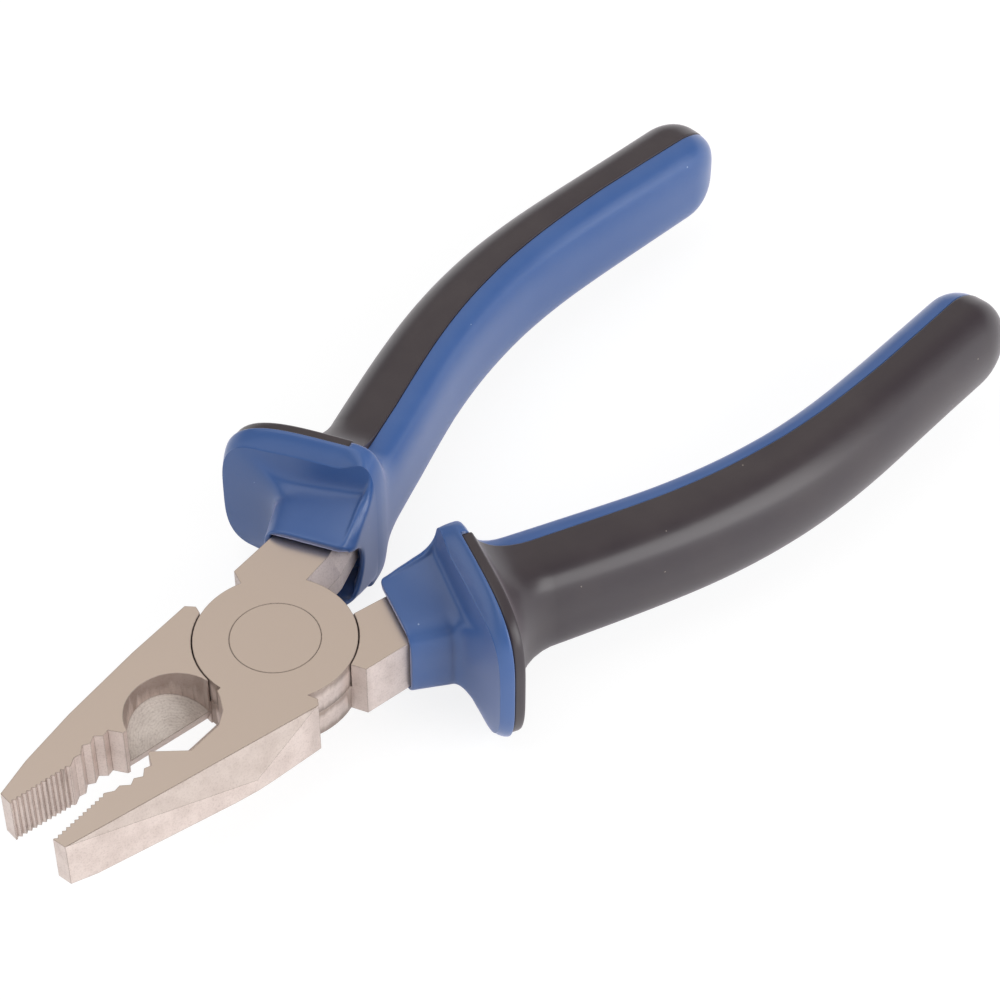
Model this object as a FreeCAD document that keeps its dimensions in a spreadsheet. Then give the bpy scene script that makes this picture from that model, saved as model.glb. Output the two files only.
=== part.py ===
import FreeCAD, Part

import math
import os
import re

import Sketcher

# Combination pliers, 180 mm class, with a lap joint.
#
# Frame: the origin lies on the pivot axis, in the lower face of the head.  +Z runs along the pivot,
# +X runs from the jaws to the handles, and +Y points to the side of the upper-leaf lever's handle.
# Each lever is drawn in its own closed frame, where the two jaws meet in the plane Y = 0.  The
# lever and its grip are then turned together about the pivot by half of the opening.
#
# "Upper" is the lever whose half-thickness leaf lies on top: its jaw is on the -Y side and its handle
# on the +Y side.  "Lower" is the other lever, drawn from the same outlines with Y reversed.

os.makedirs("parts", exist_ok=True)
doc = FreeCAD.newDocument("CombinationPliers")

# ---------------------------------------------------------------- driving dimensions

SIZES = {
    # opening of the jaws in the pose that is modelled
    "opening_angle": 11.0,
    # head and lap joint
    "head_thickness": 10.0,
    "leaf_radius": 12.45,
    "leaf_gap": 0.05,
    "seam_clearance": 0.22,
    # pivot rivet
    "rivet_head_radius": 6.9,
    "rivet_head_depth": 2.2,
    "rivet_shank_radius": 4.0,
    "rivet_clearance": 0.07,
    # jaw, from the pivot axis
    "jaw_reach": 48.2,
    "jaw_face_gap": 0.06,
    "jaw_tip_width": 2.45,
    "jaw_nose_along": 42.0,
    "jaw_nose_width": 5.05,
    "jaw_cheek_along": 32.0,
    "jaw_cheek_width": 8.15,
    "jaw_knee_along": 18.0,
    "jaw_knee_width": 11.65,
    "jaw_heel_along": 6.4,
    "jaw_heel_width": 14.0,
    "jaw_heel_cut": 1.2,
    "jaw_tip_taper": 1.5,
    "jaw_taper_along": 15.0,
    "facet_depth": 7.4,
    "facet_tip_width": 2.35,
    "facet_heel_width": 13.6,
    "facet_flare": 0.7,
    # fine serration near the tip
    "serration_pitch": 0.85,
    "serration_depth": 0.42,
    "serration_count": 12,
    # curved pipe grip with coarse teeth
    "pipe_grip_near": 28.2,
    "pipe_grip_middle": 32.0,
    "pipe_grip_half_length": 5.6,
    "pipe_grip_depth": 2.35,
    "pipe_tooth_height": 0.75,
    "pipe_tooth_pitch": 2.25,
    "pipe_tooth_first": 29.6,
    # wire cutter
    "cutter_radius": 7.5,
    "cutter_along": 20.2,
    "cutter_offset": 1.65,
    "cutter_flat_width": 4.6,
    "cutter_flat_half_length": 3.2,
    "cutter_flat_shift": 0.6,
    "cutter_flat_corner": 0.4,
    "cutter_bevel_along": 2.2,
    "cutter_bevel_width": 3.22,
    "cutter_ramp_along": 0.6,
    "cutter_ramp_width": 1.2,
    "cutter_mouth_spread": 0.2,
    "cutter_wall_depth": 4.1,
    "cutter_edge_depth": 7.1,
    "cutter_under_slope": 22.0,
    # tang that carries the grip
    "neck_angle": 18.5,
    "neck_outer": 8.05,
    "neck_inner": 3.4,
    "neck_start": 18.0,
    "neck_embed": 1.0,
    "tang_shoulder_along": 6.35,
    "tang_shoulder_width": 13.8,
    "shoulder_corner": 1.4,
    "tang_outer_length": 10.0,
    "tang_outer_rise": 0.2,
    "tang_root_along": 5.8,
    "tang_root_width": 1.38,
    "flank_draft": 2.0,
    "flank_height": 3.4,
    "tang_half_width": 3.0,
    "tang_thickness": 7.0,
    "tang_end": 108.0,
    # grip sleeve and guard, measured along and across the neck
    "sleeve_start": 18.1,
    "sleeve_wall": 1.5,
    "sleeve_outer": 9.5,
    "sleeve_inner": 4.4,
    "sleeve_length": 5.5,
    "sleeve_notch_radius": 5.2,
    "sleeve_notch_depth": 6.0,
    "sleeve_notch_inset": 0.6,
    "guard_outer": 20.2,
    "guard_half_height": 15.1,
    "guard_lift": 0.85,
    "guard_face": 28.7,
    "guard_rim": 2.1,
    "cover_rim": 1.8,
    "guard_fillet": 4.5,
    # grip behind the guard: centre line in the closed frame, then the section
    "neck_middle": 2.5,
    "grip_front_along": 50.0,
    "grip_front_side": 18.8,
    "grip_mid_along": 64.5,
    "grip_mid_side": 22.6,
    "grip_belly_along": 86.0,
    "grip_belly_side": 25.1,
    "grip_rear_along": 110.0,
    "grip_rear_side": 22.8,
    "grip_end_along": 136.6,
    "grip_end_side": 19.0,
    "grip_half_width": 6.5,
    "grip_end_half_width": 7.3,
    "grip_front_half_height": 9.8,
    "grip_end_half_height": 7.6,
    "grip_end_round": 7.0,
    "cover_wall": 2.0,
    "seam_offset": 2.5,
}

sheet = doc.addObject("Spreadsheet::Sheet", "Sizes")
for row, (alias, value) in enumerate(SIZES.items(), start=1):
    sheet.set(f"A{row}", alias)
    sheet.set(f"B{row}", str(value))
    sheet.setAlias(f"B{row}", alias)
doc.recompute()


def size(alias):
    """Value of one cell of the sheet."""
    return float(sheet.get(alias))


def bound(text):
    """Expression text in which each size name points to its cell."""
    return re.sub(r"[a-z]+_[a-z_]+", lambda word: "Sizes." + word.group(0), text)


# ---------------------------------------------------------------- helpers for sketches and features

def new_body(name):
    """Empty PartDesign body."""
    return doc.addObject("PartDesign::Body", name)


def origin_item(body, role):
    """Plane or axis of the body's own origin."""
    return next(item for item in body.Origin.OriginFeatures if item.Role == role)


def flat_sketch(body, name, height="0"):
    """Sketch parallel to the XY plane at a height given as an expression."""
    sketch = body.newObject("Sketcher::SketchObject", name)
    sketch.AttachmentSupport = [(origin_item(body, "XY_Plane"), "")]
    sketch.MapMode = "FlatFace"
    sketch.setExpression(".AttachmentOffset.Base.z", bound(height))
    return sketch


def fix_point(sketch, geometry, point, across, up):
    """Tie one point of the sketch to two expressions measured from the origin."""
    for kind, text in (("DistanceX", across), ("DistanceY", up)):
        index = sketch.addConstraint(Sketcher.Constraint(kind, -1, 1, geometry, point, 1.0))
        sketch.setExpression(f"Constraints[{index}]", bound(text))


def value_of(text):
    """Number that an expression in size names stands for."""
    return float(sheet.evalExpression(bound(text)))


def polygon(sketch, corners):
    """Closed outline through corners that are pairs of expressions."""
    places = [FreeCAD.Vector(value_of(across), value_of(up), 0) for across, up in corners]
    count = len(places)
    for index in range(count):
        sketch.addGeometry(Part.LineSegment(places[index], places[(index + 1) % count]), False)
    for index in range(count):
        sketch.addConstraint(Sketcher.Constraint("Coincident", index, 2, (index + 1) % count, 1))
    for index, (across, up) in enumerate(corners):
        fix_point(sketch, index, 1, across, up)


def circle(sketch, radius, across="0", up="0"):
    """Full circle whose radius and centre are expressions."""
    centre = FreeCAD.Vector(value_of(across), value_of(up), 0)
    edge = sketch.addGeometry(Part.Circle(centre, FreeCAD.Vector(0, 0, 1), value_of(radius)), False)
    index = sketch.addConstraint(Sketcher.Constraint("Radius", edge, value_of(radius)))
    sketch.setExpression(f"Constraints[{index}]", bound(radius))
    fix_point(sketch, edge, 3, across, up)


def pad(body, name, sketch, length):
    """Solid raised upwards from a sketch."""
    feature = body.newObject("PartDesign::Pad", name)
    feature.Profile = sketch
    feature.setExpression("Length", bound(length))
    doc.recompute()
    return feature


def pocket(body, name, sketch, length):
    """Cut made downwards from a sketch; it has to take material away."""
    before = body.Shape.Volume
    feature = body.newObject("PartDesign::Pocket", name)
    feature.Profile = sketch
    feature.setExpression("Length", bound(length))
    doc.recompute()
    if body.Shape.Volume >= before:
        raise RuntimeError(f"{name} cuts nothing")
    return feature


def turned(obj, side):
    """Turn a finished piece about the pivot from its closed frame to the modelled opening."""
    obj.Placement = FreeCAD.Placement(FreeCAD.Vector(), FreeCAD.Rotation(FreeCAD.Vector(0, 0, 1), 1))
    obj.setExpression(".Placement.Rotation.Angle", bound(f"{side} * opening_angle / 2"))


# ---------------------------------------------------------------- levers

def neck_point(along, across):
    """Closed-frame corner from distances along and across the neck, all as expressions."""
    turn = "neck_angle * 1 deg"
    return (
        f"({along}) * cos({turn}) - ({across}) * sin({turn})",
        f"({along}) * sin({turn}) + ({across}) * cos({turn})",
    )


def mirrored(corners, side):
    """Corners of the upper lever, with Y reversed for the lower one."""
    return [(across, f"{side} * ({up})") for across, up in corners]


def jaw_outline():
    """Jaw seen from above, from the pivot along the meeting face to the tip and back to the heel."""
    return [
        ("0", "-jaw_face_gap / 2"),
        ("-jaw_reach", "-jaw_face_gap / 2"),
        ("-jaw_reach", "-jaw_tip_width"),
        ("-jaw_nose_along", "-jaw_nose_width"),
        ("-jaw_cheek_along", "-jaw_cheek_width"),
        ("-jaw_knee_along", "-jaw_knee_width"),
        ("-jaw_heel_along", "-jaw_heel_width"),
        ("-jaw_heel_along + jaw_heel_cut", "-jaw_heel_width + jaw_heel_cut"),
        ("-jaw_heel_along + jaw_heel_cut / 2", "-leaf_radius + 2 * jaw_heel_cut"),
    ]


# The full-thickness neck stops inside the hard guard, ahead of the soft cover.
NECK_END = "(guard_face + neck_embed)"


def neck_outline():
    """Full-thickness neck from under the leaf into the guard of the grip."""
    return [
        ("tang_root_along", "tang_root_width"),
        neck_point("neck_start", "-neck_inner"),
        neck_point(NECK_END, "-neck_inner"),
        neck_point(NECK_END, "neck_outer"),
        ("tang_shoulder_along + tang_outer_length", "tang_shoulder_width + tang_outer_rise"),
        ("tang_shoulder_along", "tang_shoulder_width"),
        ("tang_shoulder_along - shoulder_corner", "leaf_radius - shoulder_corner"),
    ]


def tang_outline():
    """Narrow tang that runs inside the grip, along its centre line."""
    near = [
        neck_point("guard_face", "tang_half_width"),
        ("grip_front_along", "grip_front_side + tang_half_width"),
        ("grip_mid_along", "grip_mid_side + tang_half_width"),
        ("grip_belly_along", "grip_belly_side + tang_half_width"),
        ("tang_end", "grip_rear_side + tang_half_width"),
    ]
    far = [
        ("tang_end", "grip_rear_side - tang_half_width"),
        ("grip_belly_along", "grip_belly_side - tang_half_width"),
        ("grip_mid_along", "grip_mid_side - tang_half_width"),
        ("grip_front_along", "grip_front_side - tang_half_width"),
        neck_point("guard_face", "-tang_half_width / 2"),
    ]
    return near + far


def draft_flank(body, neck, side):
    """Forging draft on the inner flank of the neck: it slopes from both faces to the middle."""
    inner = neck_point(f"(neck_start + {NECK_END}) / 2", "-neck_inner")
    target = FreeCAD.Vector(value_of(inner[0]), side * value_of(inner[1]), 0)
    root = neck_point("neck_start", "-neck_inner")
    corner = FreeCAD.Vector(value_of(root[0]), side * value_of(root[1]), 0)
    names = []
    for index, edge in enumerate(neck.Shape.Edges, start=1):
        middle = edge.CenterOfMass
        flat = abs(edge.BoundBox.ZLength) < 0.01
        flat_middle = FreeCAD.Vector(middle.x, middle.y, 0)
        start = FreeCAD.Vector(value_of("tang_root_along"), side * value_of("tang_root_width"), 0)
        near_neck = flat_middle.distanceToPoint(target) < 0.05
        near_root = flat_middle.distanceToPoint((corner + start) / 2) < 0.05
        if flat and (near_neck or near_root):
            names.append(f"Edge{index}")
    chamfer = body.newObject("PartDesign::Chamfer", "FlankDraft")
    chamfer.Base = (neck, names)
    chamfer.ChamferType = "Two distances"
    chamfer.setExpression("Size", bound("flank_height"))
    chamfer.setExpression("Size2", bound("flank_draft"))
    doc.recompute()
    return chamfer


def cut_leaf_seat(body, upper):
    """Half-thickness seat in which the leaf of the other lever turns."""
    top = "head_thickness / 2 + leaf_gap / 2" if upper else "head_thickness"
    sketch = flat_sketch(body, "LeafSeatOutline", top)
    circle(sketch, "leaf_radius + seam_clearance")
    pocket(body, "LeafSeat", sketch, "head_thickness / 2 + leaf_gap / 2")


def cut_rivet_bore(body, upper):
    """Bore and counterbore: a running fit in the upper lever, a tight fit in the lower one."""
    play = "rivet_clearance" if upper else "0"
    bore = flat_sketch(body, "RivetBoreOutline", "head_thickness")
    circle(bore, f"rivet_shank_radius + {play}")
    pocket(body, "RivetBore", bore, "head_thickness")
    top = "head_thickness" if upper else "rivet_head_depth"
    seat = flat_sketch(body, "RivetHeadOutline", top)
    circle(seat, f"rivet_head_radius + {play}")
    depth = "rivet_head_depth + leaf_gap" if upper else "rivet_head_depth"
    pocket(body, "RivetHeadSeat", seat, depth)


def pipe_grip_outline():
    """Arched recess with coarse teeth, roots and crests in turn from the cutter towards the tip."""
    corners = [("-pipe_grip_near", "pipe_tooth_height"), ("-pipe_grip_near", "0")]
    far_end = value_of("pipe_grip_middle + pipe_grip_half_length")
    step = value_of("pipe_tooth_pitch") / 2
    index = 0
    while value_of("pipe_tooth_first") + index * step < far_end - step / 2:
        along = f"(pipe_tooth_first + {index} * pipe_tooth_pitch / 2)"
        share = f"(({along} - pipe_grip_middle) / pipe_grip_half_length)"
        crest = "pipe_tooth_height" if index % 2 else "0"
        corners.append((f"-{along}", f"-(pipe_grip_depth * (1 - {share} * {share}) - {crest})"))
        index += 1
    far = "-(pipe_grip_middle + pipe_grip_half_length)"
    return corners + [(far, "0"), (far, "pipe_tooth_height")]


def cut_teeth(body, side):
    """Pipe grip, then the row of fine serrations up to the tip."""
    grip = flat_sketch(body, "PipeGripOutline", "head_thickness")
    polygon(grip, mirrored(pipe_grip_outline(), side))
    pocket(body, "PipeGrip", grip, "head_thickness")
    start = "(pipe_grip_middle + pipe_grip_half_length + serration_pitch / 4)"
    valley = [
        (f"-{start}", "serration_depth"),
        (f"-{start}", "0"),
        (f"-({start} + serration_pitch / 2)", "-serration_depth"),
        (f"-({start} + serration_pitch)", "0"),
        (f"-({start} + serration_pitch)", "serration_depth"),
    ]
    groove = flat_sketch(body, "SerrationOutline", "head_thickness")
    polygon(groove, mirrored(valley, side))
    first = pocket(body, "Serration", groove, "head_thickness")
    row = body.newObject("PartDesign::LinearPattern", "SerrationRow")
    row.Originals = [first]
    row.Direction = (origin_item(body, "X_Axis"), [""])
    row.Reversed = True
    row.setExpression("Length", bound("serration_pitch * (serration_count - 1)"))
    row.setExpression("Occurrences", bound("serration_count"))
    body.Tip = row
    doc.recompute()


def flat_cutter_outline():
    """Cutter recess of the upper jaw seen from above: it has a straight back."""
    centre = "-(cutter_along + cutter_flat_shift)"
    return [
        (f"{centre} - cutter_radius + cutter_flat_corner", "jaw_face_gap"),
        (f"{centre} - cutter_flat_half_length", "-cutter_flat_width"),
        (f"{centre} + cutter_flat_half_length - cutter_flat_corner", "-cutter_flat_width"),
        (f"{centre} + cutter_radius - cutter_bevel_along", "-cutter_bevel_width"),
        (f"{centre} + cutter_radius - cutter_ramp_along", "-cutter_ramp_width"),
        (f"{centre} + cutter_radius + cutter_mouth_spread", "jaw_face_gap"),
    ]


# How far a cutting solid reaches past the piece it cuts.
CLEAR = 5.0


def prism(corners, lift):
    """Solid swept from a planar outline by a vector."""
    return Part.Face(Part.makePolygon(corners + [corners[0]])).extrude(lift)


def cutter_mouth(upper):
    """Cutter recess of one jaw: open at the top, its floor slopes down to the cutting edge."""
    top = size("head_thickness")
    deep = size("cutter_edge_depth")
    back = size("cutter_radius") - size("cutter_offset")
    rise = (deep - size("cutter_wall_depth")) / back
    left = -size("cutter_along") - size("cutter_radius") - CLEAR
    reach = 2 * (size("cutter_radius") + CLEAR)
    slab = prism(
        [
            FreeCAD.Vector(left, CLEAR, top - deep),
            FreeCAD.Vector(left, 0, top - deep),
            FreeCAD.Vector(left, -back - CLEAR, top - deep + rise * (back + CLEAR)),
            FreeCAD.Vector(left, -back - CLEAR, top + CLEAR),
            FreeCAD.Vector(left, CLEAR, top + CLEAR),
        ],
        FreeCAD.Vector(reach, 0, 0),
    )
    if upper:
        places = [
            FreeCAD.Vector(value_of(across), value_of(up), 0) for across, up in flat_cutter_outline()
        ]
        wall = prism(places, FreeCAD.Vector(0, 0, top + CLEAR))
    else:
        centre = FreeCAD.Vector(-size("cutter_along"), size("cutter_offset"), 0)
        wall = Part.makeCylinder(size("cutter_radius"), top + CLEAR, centre)
    return slab.common(wall)


def cutter_under():
    """Relief below the cutting edge, sloping back to the lower face of the jaw."""
    edge = size("head_thickness") - size("cutter_edge_depth")
    back = edge * math.tan(math.radians(size("cutter_under_slope")))
    right = -size("cutter_along") + size("cutter_radius")
    left = right - 2 * size("cutter_radius")
    return prism(
        [
            FreeCAD.Vector(left, CLEAR, edge),
            FreeCAD.Vector(left, 0, edge),
            FreeCAD.Vector(left, -back, 0),
            FreeCAD.Vector(left, -back, -CLEAR),
            FreeCAD.Vector(left, CLEAR, -CLEAR),
        ],
        FreeCAD.Vector(right - left, 0, 0),
    )


def outer_cut(first, second, third):
    """Slab outside the plane through three points on the outer side of a jaw."""
    along = (second - first).normalize()
    normal = along.cross(third - first).normalize()
    if normal.y > 0:
        normal = normal * -1
    down = normal.cross(along).normalize()
    span = second.distanceToPoint(first)
    reach = 2 * size("head_thickness")
    start = first - along * (span + CLEAR) - down * reach
    face = [
        start,
        start + down * (2 * reach),
        start + down * (2 * reach) + normal * CLEAR,
        start + normal * CLEAR,
    ]
    return prism(face, along * (3 * span + 2 * CLEAR))


def jaw_facets(upper):
    """Ground faces on the outer side of a jaw; they meet at the knee of the outline."""
    top = size("head_thickness")
    tip = FreeCAD.Vector(-size("jaw_reach"), -size("facet_tip_width"), top)
    heel = FreeCAD.Vector(-size("jaw_heel_along"), -size("facet_heel_width"), top)
    knee = FreeCAD.Vector(-size("jaw_knee_along"), -size("jaw_knee_width"), top - size("facet_depth"))
    slant = outer_cut(tip, heel, knee)
    if not upper:
        return [slant.mirror(FreeCAD.Vector(0, 0, top / 2), FreeCAD.Vector(0, 0, 1))]
    flared = knee + FreeCAD.Vector(0, -size("facet_flare"), -top)
    plumb = knee + FreeCAD.Vector(0, 0, -top)
    return [slant, outer_cut(tip, knee, flared), outer_cut(knee, heel, plumb)]


def tip_taper():
    """Wedge taken from the lower face so that the jaw thins towards its tip."""
    start = -size("jaw_taper_along")
    end = -size("jaw_reach") - CLEAR
    slope = size("jaw_tip_taper") / (size("jaw_reach") - size("jaw_taper_along"))
    width = size("jaw_heel_width")
    return prism(
        [
            FreeCAD.Vector(start, CLEAR, 0),
            FreeCAD.Vector(end, CLEAR, -slope * (end - start)),
            FreeCAD.Vector(end, CLEAR, -CLEAR),
            FreeCAD.Vector(start, CLEAR, -CLEAR),
        ],
        FreeCAD.Vector(0, -width - 2 * CLEAR, 0),
    )


def make_lever(name, upper):
    """Forged lever: leaf, jaw, neck and tang in one piece, then its ground and milled cuts."""
    side = 1 if upper else -1
    body = new_body(name + "_forging")
    neck_sketch = flat_sketch(body, "NeckOutline")
    polygon(neck_sketch, mirrored(neck_outline(), side))
    neck = pad(body, "Neck", neck_sketch, "head_thickness")
    draft_flank(body, neck, side)
    leaf_sketch = flat_sketch(
        body, "LeafOutline", "head_thickness / 2 + leaf_gap / 2" if upper else "0"
    )
    circle(leaf_sketch, "leaf_radius")
    pad(body, "Leaf", leaf_sketch, "head_thickness / 2 - leaf_gap / 2")
    jaw_sketch = flat_sketch(body, "JawOutline")
    polygon(jaw_sketch, mirrored(jaw_outline(), side))
    pad(body, "Jaw", jaw_sketch, "head_thickness")
    tang_sketch = flat_sketch(body, "TangOutline", "(head_thickness - tang_thickness) / 2")
    polygon(tang_sketch, mirrored(tang_outline(), side))
    pad(body, "Tang", tang_sketch, "tang_thickness")
    cut_leaf_seat(body, upper)
    cut_rivet_bore(body, upper)
    cut_teeth(body, side)
    tools = [cutter_mouth(upper), cutter_under(), tip_taper()] + jaw_facets(upper)
    ground = tools[0].multiFuse(tools[1:])
    if not upper:
        ground = ground.mirror(FreeCAD.Vector(), FreeCAD.Vector(0, 1, 0))
    grinding = doc.addObject("Part::Feature", name + "_ground_away")
    grinding.Shape = ground
    lever = doc.addObject("Part::Cut", name)
    lever.Base = body
    lever.Tool = grinding
    lever.Label = name
    doc.recompute()
    return lever


def make_rivet(name):
    """Pivot rivet with a head sunk flush in each face of the head."""
    body = new_body(name)
    sketch = body.newObject("Sketcher::SketchObject", "RivetProfile")
    sketch.AttachmentSupport = [(origin_item(body, "XZ_Plane"), "")]
    sketch.MapMode = "FlatFace"
    polygon(
        sketch,
        [
            ("0", "0"),
            ("rivet_head_radius", "0"),
            ("rivet_head_radius", "rivet_head_depth"),
            ("rivet_shank_radius", "rivet_head_depth"),
            ("rivet_shank_radius", "head_thickness - rivet_head_depth"),
            ("rivet_head_radius", "head_thickness - rivet_head_depth"),
            ("rivet_head_radius", "head_thickness"),
            ("0", "head_thickness"),
        ],
    )
    turn = body.newObject("PartDesign::Revolution", "RivetTurned")
    turn.Profile = sketch
    turn.ReferenceAxis = (sketch, ["V_Axis"])
    turn.Angle = 360
    body.Label = name
    doc.recompute()
    return body


# ---------------------------------------------------------------- grips

RING_POINTS = 32
STATIONS = 10

# Powers of the rounded-box sections: a power of 2 is an ellipse, and a higher one is squarer.
SLEEVE_POWER = 7.0
GUARD_INNER_POWER = 6.0
GUARD_OUTER_POWER = 3.8
HANDLE_INNER_POWER = 3.6
HANDLE_OUTER_POWER = 2.1
RIM_POWER_GAIN = 0.8

# Shares of a length at which a section is placed.
FLARE_STEPS = (0.35, 0.65, 0.85, 1.0)
FILLET_STEPS = ((0.08, 0.52), (0.3, 0.22), (0.65, 0.05), (1.0, 0.0))
CAP_STEPS = (0.0, 0.3, 0.55, 0.78, 0.93, 1.0)
CAP_END_SCALE = 0.25


def neck_place(along, across):
    """Closed-frame place from distances along and across the neck."""
    turn = math.radians(size("neck_angle"))
    return FreeCAD.Vector(
        along * math.cos(turn) - across * math.sin(turn),
        along * math.sin(turn) + across * math.cos(turn),
        size("head_thickness") / 2,
    )


def grip_line():
    """Centre line of the grip behind the guard, from the neck to the end."""
    middle = size("neck_middle")
    rim_back = size("guard_face") + size("guard_rim") + size("cover_rim")
    points = [neck_place(size("sleeve_start"), middle), neck_place(rim_back, middle)]
    for stop in ("front", "mid", "belly", "rear", "end"):
        along = size(f"grip_{stop}_along")
        points.append(FreeCAD.Vector(along, size(f"grip_{stop}_side"), size("head_thickness") / 2))
    line = Part.BSplineCurve()
    line.interpolate(points)
    return line


def ring(centre, direction, inner, outer, half_height, inner_power, outer_power):
    """Closed section wire across a direction: flatter on the inner side, rounder on the outer one."""
    across = FreeCAD.Vector(-direction.y, direction.x, 0).normalize()
    points = []
    for index in range(RING_POINTS):
        turn = 2 * math.pi * index / RING_POINTS
        cosine = math.cos(turn)
        sine = math.sin(turn)
        power = outer_power if cosine > 0 else inner_power
        width = outer if cosine > 0 else inner
        shift = math.copysign(width * abs(cosine) ** (2 / power), cosine)
        lift = math.copysign(half_height * abs(sine) ** (2 / power), sine)
        points.append(centre + across * shift + FreeCAD.Vector(0, 0, lift))
    curve = Part.BSplineCurve()
    curve.interpolate(points, PeriodicFlag=True)
    return Part.Wire(curve.toShape())


def neck_ring(along, flare):
    """Section of the sleeve or guard; a flare of 0 is the sleeve and 1 is the full guard."""
    middle = size("neck_middle")
    sleeve_height = size("head_thickness") / 2 + size("sleeve_wall")
    outer = size("sleeve_outer") + flare * (size("guard_outer") - size("sleeve_outer")) - middle
    height = sleeve_height + flare * (size("guard_half_height") - sleeve_height)
    direction = neck_place(1, 0) - neck_place(0, 0)
    inner = middle + size("sleeve_inner")
    inner_power = SLEEVE_POWER + flare * (GUARD_INNER_POWER - SLEEVE_POWER)
    outer_power = SLEEVE_POWER + flare * (GUARD_OUTER_POWER - SLEEVE_POWER)
    centre = neck_place(along, middle) + FreeCAD.Vector(0, 0, flare * size("guard_lift"))
    return ring(centre, direction, inner, outer, height, inner_power, outer_power)


def grip_ring(line, share, shrink, flare=0.0, scale=1.0):
    """Section of the grip at a share of its centre line, shrunk by a wall or flared to the guard."""
    first = line.FirstParameter
    spot = first + share * (line.LastParameter - first)
    centre = line.value(spot) + FreeCAD.Vector(0, 0, flare * size("guard_lift"))
    direction = line.tangent(spot)[0]
    width = size("grip_half_width") + share * (size("grip_end_half_width") - size("grip_half_width"))
    front = size("grip_front_half_height")
    height = front + share * (size("grip_end_half_height") - front)
    inner = width
    outer = width + flare * (size("guard_outer") - size("neck_middle") - width)
    height = height + flare * (size("guard_half_height") - height)
    outer_power = HANDLE_OUTER_POWER + RIM_POWER_GAIN * flare
    sizes = [(value - shrink) * scale for value in (inner, outer, height)]
    return ring(centre, direction, *sizes, HANDLE_INNER_POWER, outer_power)


def share_at(line, along):
    """Share of the centre line at a distance along the neck direction from the pivot."""
    direction = neck_place(1, 0) - neck_place(0, 0)
    low = 0.0
    high = 1.0
    first = line.FirstParameter
    span = line.LastParameter - first
    for _ in range(40):
        middle = (low + high) / 2
        if line.value(first + middle * span).dot(direction) < along:
            low = middle
        else:
            high = middle
    return low


def grip_body(line):
    """Whole grip behind the guard: the rim, its fillet, the handle and the rounded end."""
    rim_front = size("guard_face") + size("guard_rim")
    rim_back = rim_front + size("cover_rim")
    fillet = size("guard_fillet")
    rings = [neck_ring(rim_front, 1.0), neck_ring(rim_back, 0.98)]
    for step, flare in FILLET_STEPS:
        share = share_at(line, rim_back + step * fillet)
        rings.append(grip_ring(line, share, 0.0, flare))
    front = Part.makeLoft(rings, True, True)
    start = share_at(line, rim_back + fillet)
    length = line.length()
    cap = size("grip_end_round") / length
    stations = [start + (1 - cap - start) * index / (STATIONS - 1) for index in range(STATIONS)]
    handle = [grip_ring(line, share, 0.0) for share in stations]
    rear = Part.makeLoft(handle, True, False)
    closing = []
    for step in CAP_STEPS:
        scale = max((1 - step ** 2) ** 0.5, CAP_END_SCALE)
        closing.append(grip_ring(line, 1 - cap + cap * step, 0.0, 0.0, scale))
    end = Part.makeLoft(closing, True, True)
    return front.fuse([rear, end]).removeSplitter()


def hard_core(line):
    """Hard plastic under the soft cover: the handle section less the wall of the cover."""
    start = share_at(line, size("guard_face") + size("guard_rim") / 2)
    wall = size("cover_wall")
    stop = 1 - (size("grip_end_round") + wall) / line.length()
    shares = [start + (stop - start) * index / (STATIONS - 1) for index in range(STATIONS)]
    return Part.makeLoft([grip_ring(line, share, wall) for share in shares], True, False)


def cover_side(line):
    """Region on the outer side of the seam between the hard core and the soft cover."""
    height = size("guard_half_height") + size("guard_lift") + CLEAR
    base = FreeCAD.Vector(0, 0, size("head_thickness") / 2 - height)
    rim_front = size("guard_face") + size("guard_rim")
    offset = size("seam_offset")
    first = line.FirstParameter
    span = line.LastParameter - first
    begin = share_at(line, rim_front)
    seam = [neck_place(rim_front, size("neck_middle") - offset)]
    for index in range(1, STATIONS):
        spot = first + (begin + (1 - begin) * index / (STATIONS - 1)) * span
        direction = line.tangent(spot)[0]
        across = FreeCAD.Vector(-direction.y, direction.x, 0).normalize()
        seam.append(line.value(spot) - across * offset)
    last = line.tangent(line.LastParameter)[0]
    seam.append(seam[-1] + last * CLEAR)
    lowered = FreeCAD.Vector(0, 0, base.z - size("head_thickness") / 2)
    seam = [point + lowered for point in seam]
    curve = Part.BSplineCurve()
    curve.interpolate(seam)
    far = 2 * size("guard_outer")
    corner = neck_place(rim_front, far) + lowered
    rear = FreeCAD.Vector(seam[-1].x, far + size("grip_belly_side"), base.z)
    edges = [
        curve.toShape(),
        Part.makeLine(seam[-1], rear),
        Part.makeLine(rear, corner),
        Part.makeLine(corner, seam[0]),
    ]
    return Part.Face(Part.Wire(edges)).extrude(FreeCAD.Vector(0, 0, 2 * height))


def sleeve_and_guard():
    """Blue front of the grip: box-like sleeve on the neck that flares into the guard."""
    start = size("sleeve_start")
    straight = start + size("sleeve_length")
    face = size("guard_face")
    rings = [neck_ring(start, 0.0), neck_ring(straight, 0.02)]
    for share in FLARE_STEPS:
        rings.append(neck_ring(straight + share * (face - straight), share ** 3))
    rings.append(neck_ring(face + size("guard_rim"), 1.0))
    return Part.makeLoft(rings, True, True)


def sleeve_notch():
    """Arched notch in the inner wall of the sleeve, where the flank of the neck shows."""
    across = neck_place(0, -1) - neck_place(0, 0)
    centre = neck_place(size("sleeve_start"), size("sleeve_notch_inset") - size("neck_inner"))
    return Part.makeCylinder(size("sleeve_notch_radius"), size("sleeve_notch_depth"), centre, across)


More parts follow.
